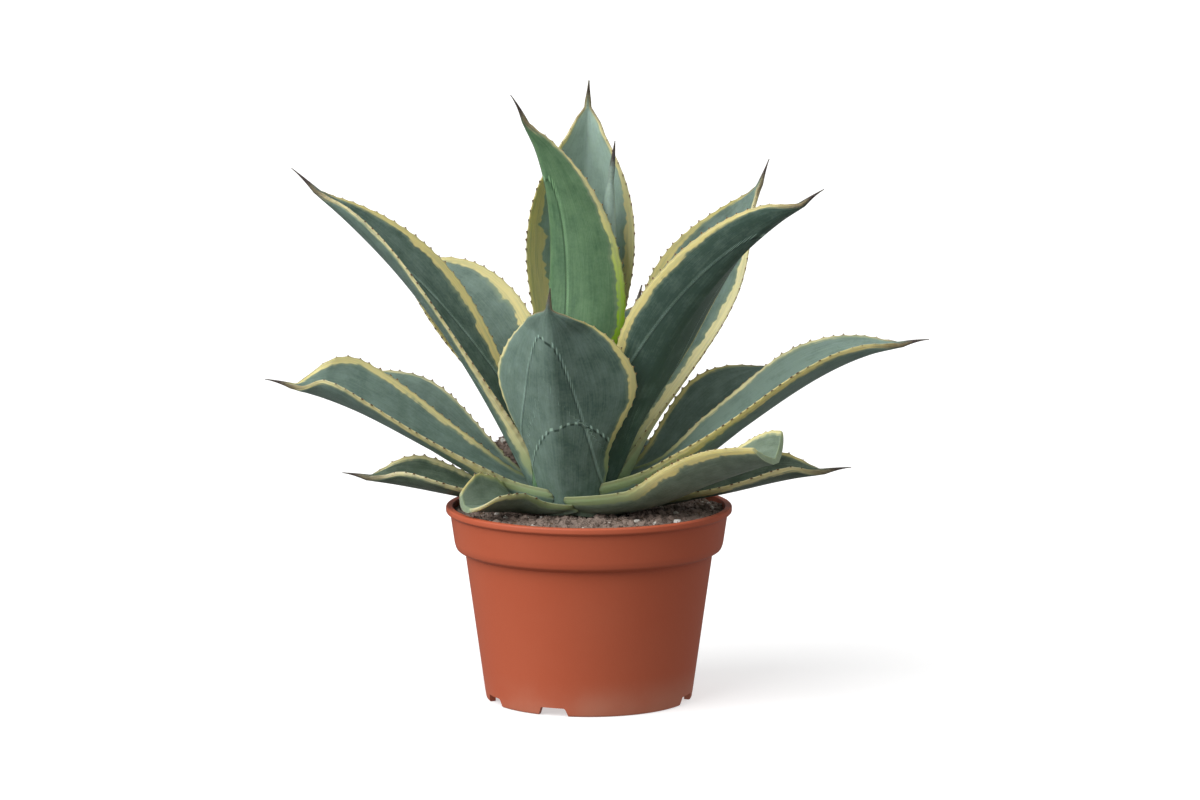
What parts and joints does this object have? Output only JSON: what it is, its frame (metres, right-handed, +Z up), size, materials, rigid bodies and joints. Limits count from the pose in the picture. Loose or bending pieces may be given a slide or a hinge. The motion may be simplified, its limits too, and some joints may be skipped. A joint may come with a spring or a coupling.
{
  "type": "potted agave",
  "caption": "Rosette agave with yellow-margined, toothed and spine-tipped leaves, growing in a flat-footed round nursery pot full of soil.",
  "frame": {"origin": "on the pot's axis at the plane of its foot, within a few millimetres of the middle of the plant's bounding box", "axes": "+Z up along the pot's axis, -Y towards the front of the plant, +X to its right"},
  "size_m": [0.4821, 0.2713, 0.4512],
  "materials": {
    "pot_plastic": "satin",
    "potting_soil": "matte",
    "stem_tissue": "satin",
    "leaf_blade": "satin"
  },
  "bodies": {
    "root": {"pot": "pot_plastic", "soil": "potting_soil", "stem": "stem_tissue", "central_bud": "leaf_blade", "leaf_front_broad": "leaf_blade", "leaf_centre_left": "leaf_blade", "leaf_back_tall": "leaf_blade", "leaf_left_upper": "leaf_blade", "leaf_right_upper": "leaf_blade", "leaf_left_upper_rear": "leaf_blade", "leaf_right_upper_rear": "leaf_blade", "leaf_back_right": "leaf_blade", "leaf_right_long": "leaf_blade", "leaf_left_long": "leaf_blade", "leaf_right_rear": "leaf_blade", "leaf_back_left": "leaf_blade", "leaf_front_right_cut": "leaf_blade", "leaf_back_low": "leaf_blade", "leaf_left_rear": "leaf_blade", "leaf_right_low": "leaf_blade", "leaf_left_low": "leaf_blade", "leaf_back_right_low": "leaf_blade", "leaf_front_left_cut": "leaf_blade"}
  },
  "joints": []
}
